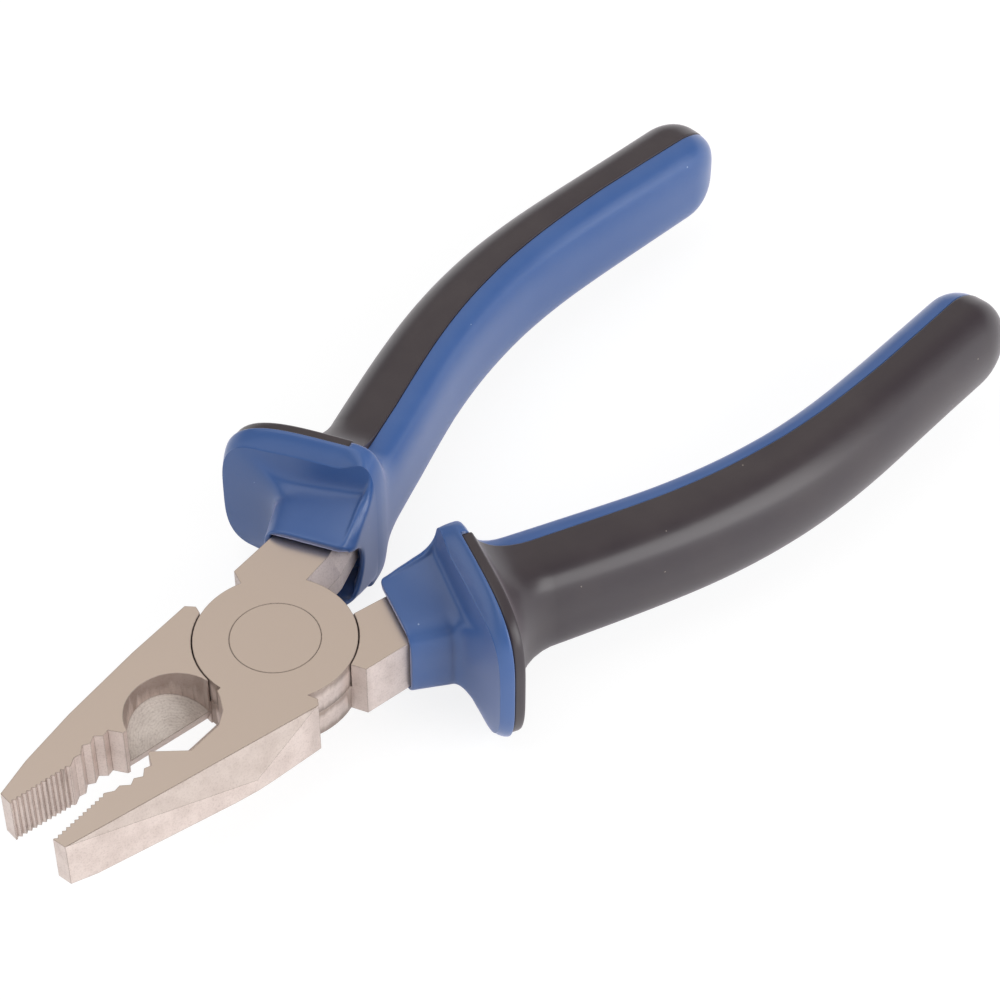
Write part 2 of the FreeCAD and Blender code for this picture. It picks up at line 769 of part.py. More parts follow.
def grip_shapes(lever):
    """Hard core with its guard, moulded round the upper lever, and the soft cover on its outer side."""
    line = grip_line()
    whole = grip_body(line)
    cover = whole.common(cover_side(line)).cut(hard_core(line))
    core = sleeve_and_guard().fuse(whole).cut(cover)
    return {"core": core.cut(sleeve_notch()).cut(lever.Shape), "cover": cover}


def make_grip(prefix, shapes, upper):
    """Core and cover of one grip; the lower one is the mirror image of the upper one."""
    pieces = []
    for suffix, shape in shapes.items():
        piece = doc.addObject("Part::Feature", f"{prefix}_grip_{suffix}")
        piece.Shape = shape if upper else shape.mirror(FreeCAD.Vector(), FreeCAD.Vector(0, 1, 0))
        piece.Label = f"{prefix}_grip_{suffix}"
        pieces.append(piece)
    return pieces


# ---------------------------------------------------------------- the pliers

upper_lever = make_lever("upper_lever", True)
lower_lever = make_lever("lower_lever", False)
pivot_rivet = make_rivet("pivot_rivet")
grip = grip_shapes(upper_lever)
upper_grip = make_grip("upper", grip, True)
lower_grip = make_grip("lower", grip, False)

for piece in [upper_lever] + upper_grip:
    turned(piece, 1)
for piece in [lower_lever, pivot_rivet] + lower_grip:
    turned(piece, -1)
doc.recompute()

for item in doc.Objects:
    if "Invalid" in item.State or "Error" in item.State:
        raise RuntimeError(f"{item.Name} did not build: {item.State}")

parts = [upper_lever, lower_lever, pivot_rivet] + upper_grip + lower_grip
for piece in parts:
    if piece.Shape.isNull() or not piece.Shape.isValid():
        raise RuntimeError(f"{piece.Label} is not a valid shape")
for piece in parts:
    piece.Shape.exportStep(f"parts/{piece.Label}.step")
    print(piece.Label, len(piece.Shape.Solids), round(piece.Shape.Volume, 1))
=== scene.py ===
"""Combination pliers with a lap joint, lying half open on a pale studio floor.

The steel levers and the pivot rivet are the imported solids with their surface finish.  The two grips
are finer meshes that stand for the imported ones: a hard blue core with a sleeve and a finger guard, and
a soft black cover on its outer side.  The pliers are described in millimetres and the studio in metres.
"""

import logging
import math
from collections.abc import Callable, Sequence
from dataclasses import astuple, dataclass, replace
from enum import Enum
from functools import partial

import bpy
import numpy as np
from bpy.types import ID, Material, Node, NodeSocket, NodeTree, Object
from mathutils import Matrix, Vector

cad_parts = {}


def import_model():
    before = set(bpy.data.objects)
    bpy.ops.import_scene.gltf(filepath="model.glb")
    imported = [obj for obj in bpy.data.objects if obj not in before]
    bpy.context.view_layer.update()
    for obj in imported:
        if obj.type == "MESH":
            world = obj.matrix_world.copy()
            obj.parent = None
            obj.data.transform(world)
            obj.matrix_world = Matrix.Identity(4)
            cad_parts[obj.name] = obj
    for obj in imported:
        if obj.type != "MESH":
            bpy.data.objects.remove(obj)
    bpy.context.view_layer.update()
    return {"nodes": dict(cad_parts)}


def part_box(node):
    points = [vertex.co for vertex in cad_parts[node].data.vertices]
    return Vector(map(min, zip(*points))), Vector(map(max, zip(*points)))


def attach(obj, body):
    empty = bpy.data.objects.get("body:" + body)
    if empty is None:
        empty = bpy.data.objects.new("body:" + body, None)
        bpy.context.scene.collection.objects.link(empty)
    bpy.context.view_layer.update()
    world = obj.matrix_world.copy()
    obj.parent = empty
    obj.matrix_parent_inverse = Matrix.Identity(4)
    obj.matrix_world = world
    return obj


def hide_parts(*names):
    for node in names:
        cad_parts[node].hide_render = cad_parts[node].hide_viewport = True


LOG = logging.getLogger("pliers")
MM = 0.001

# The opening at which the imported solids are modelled.
OPENING_DEG = 11.0

Array = np.ndarray
AddNode = Callable[..., Node]
Pair = tuple[float, float]
Triple = tuple[float, float, float]
Ramp = tuple[float, float, float, float]


class Side(Enum):
    """Which lever a grip belongs to; the value is the sign of Y on its side."""

    UPPER = 1
    LOWER = -1


class Slot(Enum):
    """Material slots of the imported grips."""

    HARD_GRIP = "hard_grip"
    SOFT_GRIP = "soft_grip"


# ---------------- shared helpers


def linear(hex_colour: str) -> tuple[float, ...]:
    """Turn an sRGB hex colour to linear RGBA.

    Args:
        hex_colour: Six hex digits after a hash sign.

    Returns:
        Linear red, green, blue and an alpha of 1.
    """
    values = [int(hex_colour[i : i + 2], 16) / 255 for i in (1, 3, 5)]
    channels = [v / 12.92 if v <= 0.04045 else ((v + 0.055) / 1.055) ** 2.4 for v in values]
    return (channels[0], channels[1], channels[2], 1.0)


def per_mm(size_mm: float) -> float:
    """Texture scale at which one feature measures the given number of millimetres."""
    return 1 / (size_mm * MM)


def add_node(tree: NodeTree, kind: str, inputs: dict | Sequence = (), **settings: object) -> Node:
    """Add a node with its settings, its input values and its links.

    Args:
        tree: Node tree that gets the node.
        kind: Blender's type name of the node, without its first word.
        inputs: What goes to each input, by name or index or in order: a value, the output that feeds
            it, or a node whose first output feeds it.
        **settings: Attributes of the node.

    Returns:
        The new node.
    """
    node = tree.nodes.new(f"ShaderNode{kind}")
    for name, value in settings.items():
        setattr(node, name, value)
    for key, value in inputs.items() if isinstance(inputs, dict) else enumerate(inputs):
        source = value.outputs[0] if isinstance(value, Node) else value
        if isinstance(source, NodeSocket):
            tree.links.new(source, node.inputs[key])
        else:
            node.inputs[key].default_value = source
    return node


def new_material(name: str) -> tuple[Material, NodeTree]:
    """Make an empty node material.

    Args:
        name: Name of the material.

    Returns:
        The material and its node tree.
    """
    material = bpy.data.materials.new(name)
    material.use_nodes = True
    material.node_tree.nodes.clear()
    return material, material.node_tree


def new_object(name: str, data: ID) -> Object:
    """Make an object and link it to the scene.

    Args:
        name: Name of the object.
        data: Its mesh, lamp or camera.

    Returns:
        The object.
    """
    made = bpy.data.objects.new(name, data)
    bpy.context.scene.collection.objects.link(made)
    return made


def smooth_step(value: Array, low: float, high: float) -> Array:
    """Ramp from 0 at low to 1 at high with flat ends."""
    share = np.clip((value - low) / (high - low), 0.0, 1.0)
    return share * share * (3 - 2 * share)


def turned(x: float, y: float, degrees: float) -> Pair:
    """Turn a place about the pivot axis; x and y may also be arrays."""
    angle = math.radians(degrees)
    return x * math.cos(angle) - y * math.sin(angle), x * math.sin(angle) + y * math.cos(angle)


# ---------------- finishes


@dataclass(frozen=True)
class GroundNickelSteel:
    """Forged carbon steel, ground flat and satin nickel plated.

    The plating gives the eye a warm beige tint.  The ground faces of the head are even, and the forged
    and blasted sides have a grain that breaks up their reflection.  A face is told by how upright it
    is, the absolute Z of its true normal.  A ramp is two limits and its values there, and a band is
    a middle and a reach.
    """

    name: str = "satin_nickel_plated_steel"
    plated: str = "#e4d5ce"
    # Painted shade: the sloped ground facet on the side of the jaws is darker than the plating.
    facet_shade: str = "#d6c8c0"
    milled: str = "#f7ede6"
    stained: str = "#a38f86"
    # Painted shade in corners, in the cutter recess and on the turned walls of the joint.
    hollow_shade: str = "#7f6e66"
    # Painted shade along the edges where faces meet.
    edge_shade: str = "#6b5648"

    ground_ramp: Ramp = (0.955, 0.985, 0.0, 1.0)
    milled_band: Pair = (0.89, 0.02)
    facet_band: Pair = (0.155, 0.045)
    steep_below: float = 0.4

    # From the blasted sides to the ground faces; the sides scatter light, so they are less metallic.
    roughness: Pair = (0.42, 0.34)
    metallic: Pair = (0.6, 1.0)

    # Real grain is finer; it is drawn as coarse as it needs to show.
    grain_mm: float = 0.3
    grain_depth_mm: float = 0.018
    grain_strength: float = 0.6
    grain_ramp: Ramp = (0.48, 0.7, 0.0, 0.24)
    blotch_mm: float = 3.2
    blotch_ramp: Ramp = (0.4, 0.75, 0.0, 0.3)

    # Real milling rings are finer; they are drawn as coarse as they need to show.
    milling_pitch_mm: float = 0.42
    milling_depth_mm: float = 0.012
    milling_strength: float = 0.8
    milling_stain: float = 0.12
    milling_wander: float = 7.0

    # Painted shade darkens corners, the cutter recess and the turned walls of the joint.
    corner_reach_mm: float = 2.0
    corner_ramp: Ramp = (0.75, 0.35, 0.0, 0.2)
    cutter_centre_mm: Pair = (0.0, 0.0)
    cutter_reach_mm: float = 8.0
    cutter_shade: float = 0.15
    turned_reach_mm: float = 15.2
    turned_wall_shade: float = 0.2
    shade_fade_mm: float = 0.5

    # Painted shade in thin darker lines where faces meet: strong at sharp edges, faint between the ground
    # facets.
    edge_shade_mm: float = 0.2
    sharp_ramp: Ramp = (0.995, 0.98, 0.0, 0.55)
    slight_ramp: Ramp = (0.9999, 0.9994, 0.0, 1.0)

    def stain(self, node: AddNode, place: NodeSocket, rings: Node, grain: NodeSocket, rough: Node) -> Node:
        """Share of stain from blotches, grain and milling rings.

        Args:
            node: Function that adds a node.
            place: Object coordinates.
            rings: Height of the milling rings.
            grain: Grain pattern.
            rough: Mask of the faces that are not ground.

        Returns:
            Node of the share.
        """
        blotches = node("TexNoise", {"Vector": place, "Scale": per_mm(self.blotch_mm), "Detail": 5.0})
        blotched = node("MapRange", (blotches.outputs["Fac"], *self.blotch_ramp))
        grained = node("MapRange", (grain, *self.grain_ramp))
        both = node("Math", (blotched, grained), operation="ADD")
        scratched = node("Math", (rings, self.milling_stain, both), operation="MULTIPLY_ADD")
        return node("Math", (scratched, rough), operation="MULTIPLY")

    def painted_hollow_shade(self, node: AddNode, place: NodeSocket, centre: Node, steep: Node, rough: Node) -> Node:
        """Share of painted shade in the corners and on the round walls.

        Args:
            node: Function that adds a node.
            place: Object coordinates.
            centre: Object coordinates measured from the centre of the cutter recess.
            steep: Mask of the steep faces.
            rough: Mask of the faces that are not ground.

        Returns:
            Node of the share.
        """
        near = []
        circles = (
            (centre, self.cutter_reach_mm, self.cutter_shade), (place, self.turned_reach_mm, self.turned_wall_shade),
        )
        for axis, reach, share in circles:
            flat = node("VectorMath", (axis, (1.0, 1.0, 0.0)), operation="MULTIPLY")
            away = node("VectorMath", (flat,), operation="LENGTH").outputs["Value"]
            near.append(node("MapRange", (away, reach * MM, (reach + self.shade_fade_mm) * MM, share, 0.0)))
        round_walls = node("Math", near, operation="MAXIMUM")
        walls = node("Math", (round_walls, steep), operation="MULTIPLY")
        # Painted shade in corners, from ambient occlusion.
        corners = node("AmbientOcclusion", {"Distance": self.corner_reach_mm * MM}, samples=6, only_local=False)
        sheltered = node("MapRange", (corners.outputs["AO"], *self.corner_ramp))
        darker = node("Math", (sheltered, walls), operation="MAXIMUM")
        return node("Math", (darker, rough), operation="MULTIPLY")

    def edges(self, node: AddNode, facing: NodeSocket, facet: Node) -> Node:
        """Share of the painted shade line where faces meet.

        Args:
            node: Function that adds a node.
            facing: True normal of the face.
            facet: Mask of the steep ground facets.

        Returns:
            Node of the share.
        """
        softened = node("Bevel", {"Radius": self.edge_shade_mm * MM}, samples=4)
        alike = node("VectorMath", (softened, facing), operation="DOT_PRODUCT").outputs["Value"]
        sharp = node("MapRange", (alike, *self.sharp_ramp))
        slight = node("MapRange", (alike, *self.slight_ramp))
        between = node("Math", (slight, facet), operation="MULTIPLY")
        return node("Math", (sharp, between), operation="MAXIMUM")

    def build(self) -> Material:
        """Build the material.

        Returns:
            Material whose grain, stain and painted shade depend on how upright a face is.
        """
        material, tree = new_material(self.name)
        node = partial(add_node, tree)
        place = node("TexCoord").outputs["Object"]
        facing = node("NewGeometry").outputs["True Normal"]
        upright = node("Math", (node("SeparateXYZ", (facing,)).outputs["Z"],), operation="ABSOLUTE")
        ground = node("MapRange", (upright, *self.ground_ramp))
        rough = node("Math", (1.0, ground), operation="SUBTRACT")
        milled = node("Math", (upright, *self.milled_band), operation="COMPARE")
        facet = node("Math", (upright, *self.facet_band), operation="COMPARE")
        steep = node("Math", (upright, self.steep_below), operation="LESS_THAN")
        middle = tuple(v * MM for v in (*self.cutter_centre_mm, 0.0))
        centre = node("VectorMath", (place, middle), operation="SUBTRACT")
        waves = {"Vector": centre, "Scale": per_mm(self.milling_pitch_mm) * math.pi / 10}
        waves |= {"Distortion": self.milling_wander, "Detail": 5.0, "Detail Scale": 1.3}
        waving = node("TexWave", waves, wave_type="RINGS", rings_direction="Z").outputs["Fac"]
        rings = node("Math", (waving, milled), operation="MULTIPLY")
        noise = node("TexNoise", {"Vector": place, "Scale": per_mm(self.grain_mm), "Detail": 3.0})
        grain = noise.outputs["Fac"]
        layers = (
            # Painted shade on the sloped facet.
            (facet, self.facet_shade),
            (milled, self.milled),
            (self.stain(node, place, rings, grain, rough), self.stained),
            # Painted shade in corners, the cutter recess and the turned walls.
            (self.painted_hollow_shade(node, place, centre, steep, rough), self.hollow_shade),
            # Painted shade along edges.
            (self.edges(node, facing, facet), self.edge_shade),
        )
        colour = linear(self.plated)
        for share, over in layers:
            colour = node("Mix", {0: share, 6: colour, 7: linear(over)}, data_type="RGBA").outputs[2]
        grain_height = node("Math", (grain, rough), operation="MULTIPLY")
        bump = {"Strength": self.grain_strength, "Distance": self.grain_depth_mm * MM, "Height": grain_height}
        grained = node("Bump", bump)
        bump = {"Strength": self.milling_strength, "Distance": self.milling_depth_mm * MM, "Height": rings}
        surface = {"Base Color": colour, "Normal": node("Bump", {**bump, "Normal": grained})}
        surface["Metallic"] = node("MapRange", (ground, 0.0, 1.0, *self.metallic))
        surface["Roughness"] = node("MapRange", (ground, 0.0, 1.0, *self.roughness))
        node("OutputMaterial", {"Surface": node("BsdfPrincipled", surface)})
        return material


@dataclass(frozen=True)
class MouldedPlastic:
    """Injection-moulded plastic with a fine spark-eroded texture from its mould.

    The texture spreads each reflection to a soft haze, folds are darkened with painted shade, and
    rubbing leaves a few lighter specks and faint clouds.
    """

    name: str
    colour: str
    worn: str
    shaded: str
    haze: str
    roughness: float
    ior: float
    specular: float
    sheen: float
    coat: float
    sheen_roughness: float = 0.3
    coat_roughness: float = 0.28
    coat_ior: float = 1.6

    # Real mould texture is finer; it is drawn as coarse as it needs to show.
    texture_mm: float = 0.22
    texture_depth_mm: float = 0.006
    texture_strength: float = 0.5

    # Painted shade: the body colour darkens towards the shaded colour in folds and hollows.
    fold_reach_mm: float = 12.0
    fold_ramp: Ramp = (0.92, 0.6, 0.0, 0.85)
    speck_mm: float = 1.3
    speck_radius: float = 0.11
    speck_share: float = 0.022
    cloud_mm: float = 9.0
    cloud_ramp: Ramp = (0.4, 0.8, 0.0, 0.06)
    rough_limits: Pair = (0.3, 0.7)
    rough_change: Pair = (-0.03, 0.04)

    def build(self) -> Material:
        """Build the material.

        Returns:
            Material with a body colour darkened by painted shade in folds, a fine bump and sparse specks.
        """
        material, tree = new_material(self.name)
        node = partial(add_node, tree)
        place = node("TexCoord").outputs["Object"]
        texture = node("TexNoise", {"Vector": place, "Scale": per_mm(self.texture_mm), "Detail": 2.0})
        cells = node("TexVoronoi", {"Vector": place, "Scale": per_mm(self.speck_mm)})
        near = node("Math", (cells.outputs["Distance"], self.speck_radius), operation="LESS_THAN")
        pick = node("SeparateColor", (cells.outputs["Color"],))
        rare = node("Math", (pick, self.speck_share), operation="LESS_THAN")
        speck = node("Math", (near, rare), operation="MULTIPLY")
        noise = node("TexNoise", {"Vector": place, "Scale": per_mm(self.cloud_mm), "Detail": 3.0})
        clouds = noise.outputs["Fac"]
        wear = node("Math", (speck, node("MapRange", (clouds, *self.cloud_ramp))), operation="MAXIMUM")
        # Painted shade in folds and hollows, from ambient occlusion.
        sheltered = node("AmbientOcclusion", {"Distance": self.fold_reach_mm * MM}, samples=8, only_local=True)
        fold_shade = node("MapRange", (sheltered.outputs["AO"], *self.fold_ramp))
        colour = linear(self.colour)
        for share, over in ((fold_shade, self.shaded), (wear, self.worn)):
            colour = node("Mix", {0: share, 6: colour, 7: linear(over)}, data_type="RGBA").outputs[2]
        rough = (self.roughness + change for change in self.rough_change)
        bump = {"Strength": self.texture_strength, "Distance": self.texture_depth_mm * MM}
        surface = {
            "Base Color": colour,
            "Roughness": node("MapRange", (clouds, *self.rough_limits, *rough)),
            "IOR": self.ior,
            "Specular IOR Level": self.specular,
            "Sheen Weight": self.sheen,
            "Sheen Roughness": self.sheen_roughness,
            "Sheen Tint": linear(self.haze),
            "Coat Weight": self.coat,
            "Coat Roughness": self.coat_roughness,
            "Coat IOR": self.coat_ior,
            "Normal": node("Bump", {**bump, "Height": texture.outputs["Fac"]}),
        }
        node("OutputMaterial", {"Surface": node("BsdfPrincipled", surface)})
        return material


# Gives the eye a stiff, satin blue body with a pale haze on what faces away.
BLUE_POLYPROPYLENE = MouldedPlastic(
    name="blue_moulded_polypropylene", colour="#325894", worn="#8fa3c4", shaded="#1b3a6e",
    haze="#dcdcff", roughness=0.4, ior=1.49, specular=0.4, sheen=0.75, coat=0.5,
)
# Gives the eye a softer, nearly black skin with broad, dull highlights.
BLACK_RUBBER = MouldedPlastic(
    name="black_moulded_thermoplastic_rubber", colour="#31282f", worn="#8a8078", shaded="#191416",
    haze="#fff0fa", roughness=0.45, ior=1.5, specular=0.4, sheen=0.3, coat=0.4,
)


# ---------------- sections and rings

# How sharply the chamfer of a section meets its sides, and its drop as a share of its cut.
CUT_SHARPNESS = 70.0
CUT_DROP = 0.8

# Points of the outer and the inner run of an outline, and of the dense outline that they are read from.
OUTER_COUNT, INNER_COUNT, DENSE_COUNT = 76, 88, 900

# Distances of the first points from a seam, which follow its rounding; a run shorter than the next
# length squeezes them, and a rounding smaller than the one after it spreads them evenly again.
SEAM_SPOTS_MM = np.array([0.0, 0.04, 0.1, 0.18, 0.28, 0.45, 0.8])
SHORT_RUN_MM = 6.0
FULL_ROUND_MM = 0.2

# How far to each side the direction of an outline and of the centre line is read.
PROBE_MM = 0.02
LINE_PROBE_MM = 0.05


@dataclass(frozen=True)
class Section:
    """Rounded-box section across a grip: across grows to the outer side and lift grows upwards.

    Its outline has two runs, which meet at the seam between the core and the cover.
    """

    inner: float
    outer: float
    height: float
    inner_power: float
    outer_power: float
    cut: float = 0.0

    def at(self, angle: Array) -> Array:
        """Points of the outline.

        Args:
            angle: Angles from the outer side, in radians.

        Returns:
            One row of across and lift for each angle.
        """
        cosine = np.cos(angle)
        sine = np.sin(angle)
        power = np.where(cosine > 0, self.outer_power, self.inner_power)
        width = np.where(cosine > 0, self.outer, self.inner)
        reach = (np.abs(cosine) ** power + np.abs(sine) ** power) ** (-1 / power)
        if self.cut > 0:
            flat = self.cut / self.inner
            drop = CUT_DROP * self.cut / self.height
            line = (drop * np.abs(cosine) + flat * np.abs(sine)) / (flat + drop - flat * drop)
            line = np.where(cosine < 0, line, 0.0)
            reach = (reach ** -CUT_SHARPNESS + line ** CUT_SHARPNESS) ** (-1 / CUT_SHARPNESS)
        return np.stack([width * cosine * reach, self.height * sine * reach], 1)

    def shrunk(self, wall: float) -> "Section":
        """The same section with an even wall taken off it."""
        return replace(self, inner=self.inner - wall, outer=self.outer - wall, height=self.height - wall)

    def scaled(self, scale: float) -> "Section":
        """The same section at another scale."""
        return replace(self, inner=self.inner * scale, outer=self.outer * scale, height=self.height * scale)

    def towards(self, other: "Section", share: float) -> "Section":
        """Section between this one, at a share of 0, and another, at 1."""
        return Section(*(low + share * (high - low) for low, high in zip(astuple(self), astuple(other))))

    def seam_angle(self, seam: float) -> float:
        """Angle at which the outline passes the seam on the upper side."""
        angle = np.linspace(0.0, math.pi, DENSE_COUNT)
        return float(np.interp(seam, -self.at(angle)[:, 0], angle))

    def run(self, start: float, stop: float, count: int, round_mm: float) -> Array:
        """Points along part of an outline: even, or closer together at ends that are rounded.

        Args:
            start: First angle.
            stop: Last angle.
            count: Number of points.
            round_mm: Radius of the rounding at the seam; 0 leaves the ends sharp.

        Returns:
            The outline, one row of across and lift for each point.
        """
        dense = self.at(np.linspace(start, stop, DENSE_COUNT))
        steps = np.linalg.norm(np.diff(dense, axis=0), axis=1)
        length = np.concatenate([[0.0], np.cumsum(steps)])
        total = length[-1]
        fine = SEAM_SPOTS_MM * min(1.0, total / SHORT_RUN_MM)
        middle = np.linspace(fine[-1], total - fine[-1], count - 2 * len(fine) + 2)[1:-1]
        spots = np.concatenate([fine, middle, total - fine[::-1]])
        even = 1 - min(round_mm / FULL_ROUND_MM, 1.0)
        spots += even * (np.linspace(0.0, total, count) - spots)
        points, ahead, behind = (
            np.stack([np.interp(spots + step, length, dense[:, i]) for i in (0, 1)], 1)
            for step in (0.0, PROBE_MM, -PROBE_MM)
        )
        if round_mm > 0:
            along = ahead - behind
            inward = np.stack([-along[:, 1], along[:, 0]], 1) / np.linalg.norm(along, axis=1)[:, None]
            near = np.minimum(spots, total - spots)
            short = np.clip(round_mm - near, 0.0, round_mm)
            depth = round_mm - np.sqrt(round_mm ** 2 - short ** 2)
            points = points + inward * depth[:, None]
        return points

    def outer_run(self, seam: float, round_mm: float = 0.0) -> Array:
        """Run from the lower seam round the outer side to the upper seam."""
        turn = self.seam_angle(seam)
        return self.run(-turn, turn, OUTER_COUNT, round_mm)

    def inner_run(self, seam: float, round_mm: float = 0.0) -> Array:
        """Run from the upper seam round the inner side to the lower seam."""
        turn = self.seam_angle(seam)
        return self.run(turn, 2 * math.pi - turn, INNER_COUNT, round_mm)


def loft(rings: list[Array], flip: bool) -> tuple[Array, list[tuple[int, ...]]]:
    """Skin closed rings of the same number of points, with both ends capped.

    Args:
        rings: One array of points for each ring.
        flip: Whether the faces turn the other way, for a mirrored piece.

    Returns:
        Vertices and faces.
    """
    count = len(rings[0])
    faces: list[tuple[int, ...]] = []
    for row in range(len(rings) - 1):
        for column in range(count):
            a = row * count + column
            b = row * count + (column + 1) % count
            faces.append((a, b, b + count, a + count))
    faces.append(tuple(reversed(range(count))))
    last = (len(rings) - 1) * count
    faces.append(tuple(range(last, last + count)))
    if flip:
        faces = [tuple(reversed(face)) for face in faces]
    return np.concatenate(rings), faces


def cubic_through(places: Array, values: Array, wanted: Array) -> Array:
    """Natural cubic spline through values.

    Args:
        places: Growing parameter of the known values.
        values: One row for each known value.
        wanted: Parameters at which the spline is read.

    Returns:
        One row for each wanted parameter.
    """
    count = len(places)
    step = np.diff(places)
    system = np.eye(count)
    right = np.zeros_like(values)
    for i in range(1, count - 1):
        system[i, i - 1 : i + 2] = (step[i - 1], 2 * (step[i - 1] + step[i]), step[i])
        right[i] = 6 * ((values[i + 1] - values[i]) / step[i] - (values[i] - values[i - 1]) / step[i - 1])
    bend = np.linalg.solve(system, right)
    index = np.clip(np.searchsorted(places, wanted) - 1, 0, count - 2)
    h = step[index][:, None]
    a = ((places[index + 1] - wanted)[:, None]) / h
    b = ((wanted - places[index])[:, None]) / h
    straight = a * values[index] + b * values[index + 1]
    curved = ((a ** 3 - a) * bend[index] + (b ** 3 - b) * bend[index + 1]) * h * h / 6
    return straight + curved


# ---------------- grips


# Centre line of a handle behind its guard, in the frame of the closed tool.
CENTRE_LINE = ((50.0, 18.8), (64.5, 22.6), (86.0, 25.1), (110.0, 22.8), (136.55, 19.0))

# Sections of a handle: X in the frame of the closed tool, inner side, outer side, half height, inner
# power, outer power and place of the seam.
HANDLE = np.array((
    (28.0, 7.5, 6.9, 9.3, 3.9, 3.0, 2.5),
    (34.0, 7.6, 6.9, 9.2, 3.9, 2.9, 2.6),
    (45.8, 7.65, 6.8, 8.95, 4.1, 2.75, 2.95),
    (60.2, 7.4, 6.65, 8.9, 4.2, 2.5, 3.0),
    (69.9, 7.45, 6.62, 8.95, 4.1, 2.3, 3.1),
    (79.8, 7.5, 6.6, 8.97, 4.0, 2.1, 3.2),
    (89.7, 7.52, 6.6, 8.95, 3.7, 1.98, 3.05),
    (99.6, 7.4, 6.6, 8.9, 3.5, 1.95, 2.75),
    (109.5, 7.3, 6.5, 8.85, 3.4, 1.97, 2.4),
    (119.3, 7.35, 6.4, 8.75, 3.3, 2.05, 2.4),
    (129.2, 7.35, 6.45, 8.65, 3.3, 2.1, 2.5),
    (137.0, 7.3, 6.45, 8.5, 3.3, 2.1, 2.5),
))

# Rings of the bore of the sleeve, behind its front edge, and the rounding of that edge: wall taken
# off the section, and distance behind the edge.
BORE_DEPTH, MOUTH_DEPTH, MOUTH_EDGE = 2.4, 1.6, 0.12
SLEEVE_EDGE = ((0.34, 0.0), (0.14, 0.05), (0.04, 0.16), (0.0, 0.34))

# Rounded lip of the guard: share of the way from its flat face to its full outline, and distance
# behind the face.  Then its back edge: wall taken off, and distance behind the face.
LIP_STEPS = (
    (0.02, -0.1), (0.07, -0.02), (0.15, 0.09), (0.28, 0.26), (0.45, 0.52), (0.64, 0.86), (0.8, 1.2),
    (0.92, 1.52), (1.0, 1.85),
)
BACK_STEPS = ((0.03, 2.0), (0.14, 2.08), (0.4, 2.1))

# Back of the guard running out into the handle: distance behind the blue rim, and share of the guard.
CORE_FLARE = (
    (0.03, 1.0), (0.5, 1.0), (0.9, 0.985), (1.2, 0.94), (1.5, 0.86), (1.85, 0.74), (2.25, 0.6),
    (2.7, 0.46), (3.3, 0.325), (4.0, 0.21), (4.9, 0.12), (6.0, 0.05), (7.3, 0.01), (8.4, 0.0),
)
CORE_FLARE_END = 9.2

# The same for the cover, with the wall taken off it besides the inset of its rim: from the front of
# the rim, then from its back.  Behind the rim the wall is a share of the inset.
COVER_FRONT = ((0.04, 1.0, 0.2), (0.15, 1.0, 0.04), (0.4, 1.0, 0.0))
COVER_EDGE = ((-0.5, 1.0, 0.0), (-0.2, 1.0, 0.07), (-0.02, 0.985, 0.1))
COVER_BACK = (
    (0.12, 0.92, 0.8), (0.35, 0.82, 0.6), (0.7, 0.69, 0.4), (1.2, 0.55, 0.2), (1.9, 0.44, 0.0),
    (2.7, 0.335, 0.0), (3.7, 0.235, 0.0), (4.9, 0.15, 0.0), (6.4, 0.075, 0.0), (8.2, 0.022, 0.0),
    (9.8, 0.0, 0.0),
)
COVER_FLARE_END = 10.4


